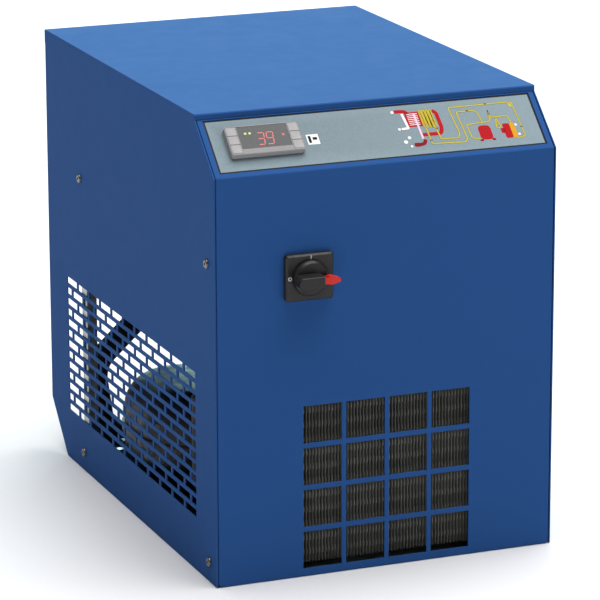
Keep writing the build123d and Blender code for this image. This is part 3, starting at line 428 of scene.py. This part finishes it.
class Flat:
    """A thin piece on a face, made of outlines in millimetres: x across and y up from the face's middle."""

    def __init__(self, name, place, material, body, slot, thickness=0.12, lift=0.0):
        self.name, self.place, self.material = name, place, material
        self.body, self.slot_name = body, slot
        self.low, self.high = lift, lift + thickness
        self.vertices, self.faces = [], []

    def outline(self, points):
        """A prism over one outline, given in order round it."""
        area = sum(a[0] * b[1] - b[0] * a[1] for a, b in zip(points, points[1:] + points[:1]))
        points = points if area > 0 else points[::-1]
        base, count = len(self.vertices), len(points)
        self.vertices += [(x, y, self.low) for x, y in points] + [(x, y, self.high) for x, y in points]
        self.faces.append([base + i for i in range(count)][::-1])
        self.faces.append([base + count + i for i in range(count)])
        for i in range(count):
            j = (i + 1) % count
            self.faces.append([base + i, base + j, base + count + j, base + count + i])

    def disc(self, x, y, radius, steps=24):
        turn = [2 * math.pi * k / steps for k in range(steps)]
        self.outline([(x + radius * math.cos(a), y + radius * math.sin(a)) for a in turn])

    def rectangle(self, x0, y0, x1, y1, radius=0.0):
        if not radius:
            self.outline([(x0, y0), (x1, y0), (x1, y1), (x0, y1)])
            return
        corners = [(x1 - radius, y0 + radius, -90), (x1 - radius, y1 - radius, 0),
                   (x0 + radius, y1 - radius, 90), (x0 + radius, y0 + radius, 180)]
        points = []
        for cx, cy, start in corners:
            for k in range(5):
                a = math.radians(start + 22.5 * k)
                points.append((cx + radius * math.cos(a), cy + radius * math.sin(a)))
        self.outline(points)

    def stroke(self, points, width, bend=1.5):
        """A line of constant width through the points, with rounded bends."""
        path = rounded(points, bend)
        left, right = [], []
        for i, (x, y) in enumerate(path):
            before, after = path[max(i - 1, 0)], path[min(i + 1, len(path) - 1)]
            inward = unit(x - before[0], y - before[1]) if i else unit(after[0] - x, after[1] - y)
            outward = unit(after[0] - x, after[1] - y) if i < len(path) - 1 else inward
            mx, my = unit(-(inward[1] + outward[1]), inward[0] + outward[0])
            reach = width / 2 / max(0.5, mx * -outward[1] + my * outward[0])
            left.append((x + mx * reach, y + my * reach))
            right.append((x - mx * reach, y - my * reach))
        self.outline(right + left[::-1])

    def build(self):
        mesh = bpy.data.meshes.new(self.name)
        mesh.from_pydata([(x * MM, y * MM, z * MM) for x, y, z in self.vertices], [], self.faces)
        mesh.transform(self.place)
        mesh.materials.append(self.material.material)
        return add_piece(self.name, mesh, self.body)


def unit(x, y):
    length = math.hypot(x, y) or 1.0
    return x / length, y / length


def rounded(points, bend, steps=4):
    """The same path with each corner turned into a short arc-like curve."""
    path = [points[0]]
    for a, b, c in zip(points, points[1:], points[2:]):
        before, after = math.dist(a, b), math.dist(b, c)
        cut = min(bend, before * 0.45, after * 0.45)
        start = [b[i] + (a[i] - b[i]) * cut / before for i in (0, 1)]
        end = [b[i] + (c[i] - b[i]) * cut / after for i in (0, 1)]
        for k in range(steps + 1):
            t = k / steps
            near, middle, far = (1 - t) ** 2, 2 * t * (1 - t), t * t
            path.append(tuple(near * start[i] + middle * b[i] + far * end[i] for i in (0, 1)))
    path.append(points[-1])
    return path


def add_piece(name, mesh, body):
    obj = bpy.data.objects.new(name, mesh)
    bpy.context.scene.collection.objects.link(obj)
    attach(obj, body)
    return obj


def lettering(name, text, place, x, y, height):
    """Raised generic lettering, centred on x and y in millimetres on a face."""
    curve = bpy.data.curves.new(name, "FONT")
    curve.body = text
    curve.size = height * 1.38 * MM
    curve.align_x, curve.align_y = "CENTER", "CENTER"
    curve.extrude = 0.05 * MM
    curve.offset = 0.06 * MM
    holder = bpy.data.objects.new(name + "_outline", curve)
    bpy.context.scene.collection.objects.link(holder)
    bpy.context.view_layer.update()
    mesh = bpy.data.meshes.new_from_object(holder.evaluated_get(bpy.context.evaluated_depsgraph_get()))
    bpy.data.objects.remove(holder)
    mesh.transform(place @ Matrix.Translation((x * MM, y * MM, 0.05 * MM)))
    mesh.materials.clear()
    mesh.materials.append(INKS["white"].material)
    return add_piece(name, mesh, "cabinet")


# ---- control face --------------------------------------------------------------------------------------
CONTROL_FACE = face_frame("control_plate", (0, -1, 1))


def printed(name, ink, thickness=0.1, lift=0.0):
    return Flat(name, CONTROL_FACE, INKS[ink], "cabinet", "control_plate_plastic", thickness, lift)


def flow_lines():
    """Refrigerant lines of the flow diagram: yellow, each on a slightly wider dull outline."""
    routes = [
        [(50.5, 1.0), (51.5, -18.0), (86.0, -19.5), (88.5, -16.0), (86.5, 15.5), (104.0, 16.0),
         (108.0, 13.0), (109.5, 1.5)],
        [(60.5, 1.0), (62.0, -13.5), (80.0, -14.0), (82.5, -9.0), (80.0, 21.5), (143.0, 22.0),
         (146.5, 18.0), (148.5, -18.5), (140.0, -20.5)],
        [(102.5, -17.5), (93.5, -16.0), (92.5, 0.0), (117.0, 1.5), (119.0, 6.0), (137.0, 6.5),
         (138.5, -2.5)],
        [(124.5, 4.5), (122.0, -6.5), (127.0, -6.5), (124.5, 4.5)],
        [(119.0, 6.0), (119.0, 12.0)],
    ]
    coil = [(49.5, 2.0)]
    for k in range(4):
        x = 49.5 + 3.4 * k
        coil += [(x - 0.6, 21.0), (x + 1.4, 21.0), (x + 2.8, 1.0), (x + 3.4, 1.0)]
    outline = printed("diagram_line_outlines", "outline", 0.06, 0.02)
    line = printed("diagram_lines", "yellow", 0.1, 0.02)
    for route in routes + [coil[:-1]]:
        outline.stroke(route, 1.9)
        line.stroke(route, 1.0)
    line.rectangle(142.5, 16.5, 147.0, 21.5, 1.0)
    for piece in (outline, line):
        piece.build()


def diagram_shapes():
    """The diagram's solid shapes: heat exchanger, separator, compressor and condenser."""
    red = printed("diagram_red_shapes", "red", 0.06, 0.01)
    red.rectangle(33.5, 3.0, 49.0, 20.0, 0.8)
    red.rectangle(102.5, -19.0, 115.5, -2.5, 4.0)
    red.rectangle(128.5, -19.5, 136.0, -2.5, 2.0)
    red.rectangle(125.5, -13.5, 129.5, -7.5, 1.5)
    red.stroke([(62.5, 20.0), (66.0, 17.0), (66.5, -1.0), (64.0, -7.0), (43.0, -7.0)], 4.0, 4.0)
    red.stroke([(24.0, 22.0), (35.0, 21.5), (37.5, 17.0)], 3.8, 3.0)
    maroon = printed("diagram_maroon_shapes", "maroon", 0.06, 0.01)
    maroon.rectangle(33.0, -20.0, 39.5, -15.5, 1.5)
    maroon.stroke([(39.0, -18.0), (44.0, -17.0), (46.0, -12.5)], 3.6, 3.0)
    maroon.rectangle(101.0, -20.5, 104.5, -18.0, 0.6)
    maroon.rectangle(113.5, -20.5, 117.0, -18.0, 0.6)
    amber = printed("diagram_amber_shapes", "amber", 0.07, 0.01)
    amber.rectangle(136.0, -19.5, 141.0, -2.5, 0.6)
    amber.rectangle(49.0, 2.5, 61.5, 20.0, 0.5)
    amber.rectangle(117.4, 4.5, 120.8, 8.0, 0.4)
    for piece in (red, maroon, amber):
        piece.build()


def diagram_marks():
    """White pipes, port circles and the pale bars across the heat exchanger."""
    white = printed("diagram_white_marks", "white", 0.1, 0.02)
    white.stroke([(31.0, 19.0), (33.0, 2.0), (26.0, 1.5)], 2.4, 1.0)
    dots = [(22.0, 21.5, 1.6), (23.5, 1.5, 1.5), (30.5, -9.0, 1.7), (25.5, -13.5, 2.0),
            (30.0, -19.0, 1.3), (142.5, -5.0, 1.3), (143.0, -16.0, 1.3)]
    for x, y, radius in dots:
        white.disc(x, y, radius)
    for k in range(7):
        y = 5.0 + 2.1 * k
        white.rectangle(35.5, y, 46.5, y + 0.7)
    pink = printed("diagram_pink_pipe", "pink", 0.12, 0.02)
    pink.stroke([(43.0, 18.5), (43.5, 3.0), (44.0, -11.5)], 2.0, 1.0)
    black = printed("diagram_valve_marks", "black", 0.14, 0.02)
    valves = [(119.0, 10.0), (98.0, 16.0), (119.0, 22.0), (147.8, -7.5), (61.5, -1.0), (51.5, -14.0)]
    for x, y in valves:
        black.rectangle(x - 1.1, y - 0.5, x + 1.1, y + 0.5)
    black.stroke([(119.0, 11.5), (119.0, 14.5)], 0.8)
    for piece in (white, pink, black):
        piece.build()


def key_sticker():
    """A small white sticker beside the controller with plain bars in place of its print."""
    sticker = printed("sticker_base", "white", 0.08)
    sticker.rectangle(-71.5, -6.5, -59.5, 5.0, 0.4)
    sticker.build()
    mark = printed("sticker_marks", "black", 0.05, 0.08)
    mark.rectangle(-70.0, -4.6, -67.4, 3.4, 0.3)
    mark.rectangle(-65.6, -1.4, -61.2, 1.6, 0.3)
    mark.build()


SEGMENTS = {"3": "abgcd", "9": "abcdfg"}


def digit(flat, shape, x, y, width, height, thick=0.9, slant=0.12):
    """A seven-segment figure whose lower left corner is at x, y."""
    middle, top = height / 2, height
    ends = {
        "a": ((0, top), (width, top)), "b": ((width, middle), (width, top)),
        "c": ((width, 0), (width, middle)), "d": ((0, 0), (width, 0)),
        "f": ((0, middle), (0, top)), "g": ((0, middle), (width, middle)),
    }
    for name in SEGMENTS[shape]:
        (x0, y0), (x1, y1) = ends[name]
        dx, dy = unit(x1 - x0, y1 - y0)
        gap, half = 0.35, thick / 2
        a, b = (x0 + dx * gap, y0 + dy * gap), (x1 - dx * gap, y1 - dy * gap)
        slope, rise = (dx - dy) * half, (dy + dx) * half
        points = [
            a, (a[0] + slope, a[1] + rise), (b[0] - rise, b[1] + slope),
            b, (b[0] - slope, b[1] - rise), (a[0] + rise, a[1] - slope),
        ]
        flat.outline([(x + px + slant * py, y + py) for px, py in points])


def display_figures():
    place = face_frame("display_window", (0, -1, 1))
    red = Flat("display_figures", place, GLOW["digit"], "cabinet", "display_panel", 0.05)
    digit(red, "3", -7.6, -9.0, 6.4, 13.4)
    digit(red, "9", 1.4, -9.0, 6.4, 13.4)
    red.stroke([(18.0, 1.6), (20.4, -0.8)], 0.8)
    red.stroke([(18.0, -0.8), (20.4, 1.6)], 0.8)
    green = Flat("display_lamps", place, GLOW["leaf"], "cabinet", "display_panel", 0.05)
    for x in (-17.6, -13.2):
        green.rectangle(x - 1.2, 3.6, x + 1.2, 5.8, 0.5)
    for piece in (red, green):
        piece.build()


# ---- main switch ---------------------------------------------------------------------------------------
def switch_legend():
    place = face_frame("switch_plate", (0, -1, 0))
    lettering("legend_on", "I", place, 1.0, 19.2, 3.6)
    lettering("legend_off", "O", place, -20.2, 0.0, 3.6)


# ---- stage ---------------------------------------------------------------------------------------------
def aim(obj, target):
    obj.rotation_euler = (Vector(target) - obj.location).to_track_quat("-Z", "Y").to_euler()


def stage():
    """A pale floor that fills the view."""
    size = 14.0
    mesh = bpy.data.meshes.new("floor")
    corners = [(-size, -size, 0), (size, -size, 0), (size, size, 0), (-size, size, 0)]
    mesh.from_pydata(corners, [], [(0, 1, 2, 3)])
    floor = bpy.data.objects.new("floor", mesh)
    bpy.context.scene.collection.objects.link(floor)
    floor.location.z = -0.0005
    pale = Shader("pale_floor", (0.72, 0.72, 0.73), 0.8, specular=0.02)
    pale.tint(pale.math("MULTIPLY", pale.noise(0.4, 4), 0.1), (0.70, 0.70, 0.71))
    mesh.materials.append(pale.material)


def soft_light(name, place, size, power, color=(1, 1, 1)):
    data = bpy.data.lights.new(name, "AREA")
    data.shape, data.size, data.energy, data.color = "DISK", size, power, color
    lamp = bpy.data.objects.new(name, data)
    lamp.location = place
    bpy.context.scene.collection.objects.link(lamp)
    aim(lamp, CABINET_MIDDLE)


def lights():
    world = bpy.data.worlds.new("studio")
    world.use_nodes = True
    sky = world.node_tree.nodes["Background"]
    sky.inputs["Color"].default_value = (1.0, 1.0, 1.0, 1.0)
    sky.inputs["Strength"].default_value = SKY_STRENGTH
    bpy.context.scene.world = world
    sun = bpy.data.lights.new("overhead", "SUN")
    sun.energy, sun.angle = OVERHEAD_STRENGTH, OVERHEAD_SPREAD
    lamp = bpy.data.objects.new("overhead", sun)
    lamp.rotation_euler.y = OVERHEAD_LEAN
    bpy.context.scene.collection.objects.link(lamp)
    soft_light("front_fill", (1.3, -3.0, 1.7), size=1.6, power=4)
    soft_light("back_sheen", (2.4, 6.0, 1.9), size=4.6, power=210, color=(0.55, 0.95, 1.0))


def camera():
    """Looks down at the front and the left-hand side through a long lens."""
    level = math.cos(ELEVATION)
    away = Vector((math.sin(AZIMUTH) * level, -math.cos(AZIMUTH) * level, math.sin(ELEVATION)))
    data = bpy.data.cameras.new("camera")
    data.lens, data.sensor_width = LENS, SENSOR
    data.clip_end = 60.0
    view = bpy.data.objects.new("camera", data)
    view.location = TARGET + away * DISTANCE
    turn = (-away).to_track_quat("-Z", "Y").to_matrix().to_4x4()
    view.matrix_world = Matrix.Translation(view.location) @ turn @ Matrix.Rotation(ROLL, 4, "Z")
    bpy.context.scene.collection.objects.link(view)
    bpy.context.scene.camera = view
    bpy.context.scene.view_settings.view_transform = "Standard"


finish_cad_nodes()
flow_lines()
diagram_shapes()
diagram_marks()
key_sticker()
display_figures()
switch_legend()
stage()
lights()
camera()
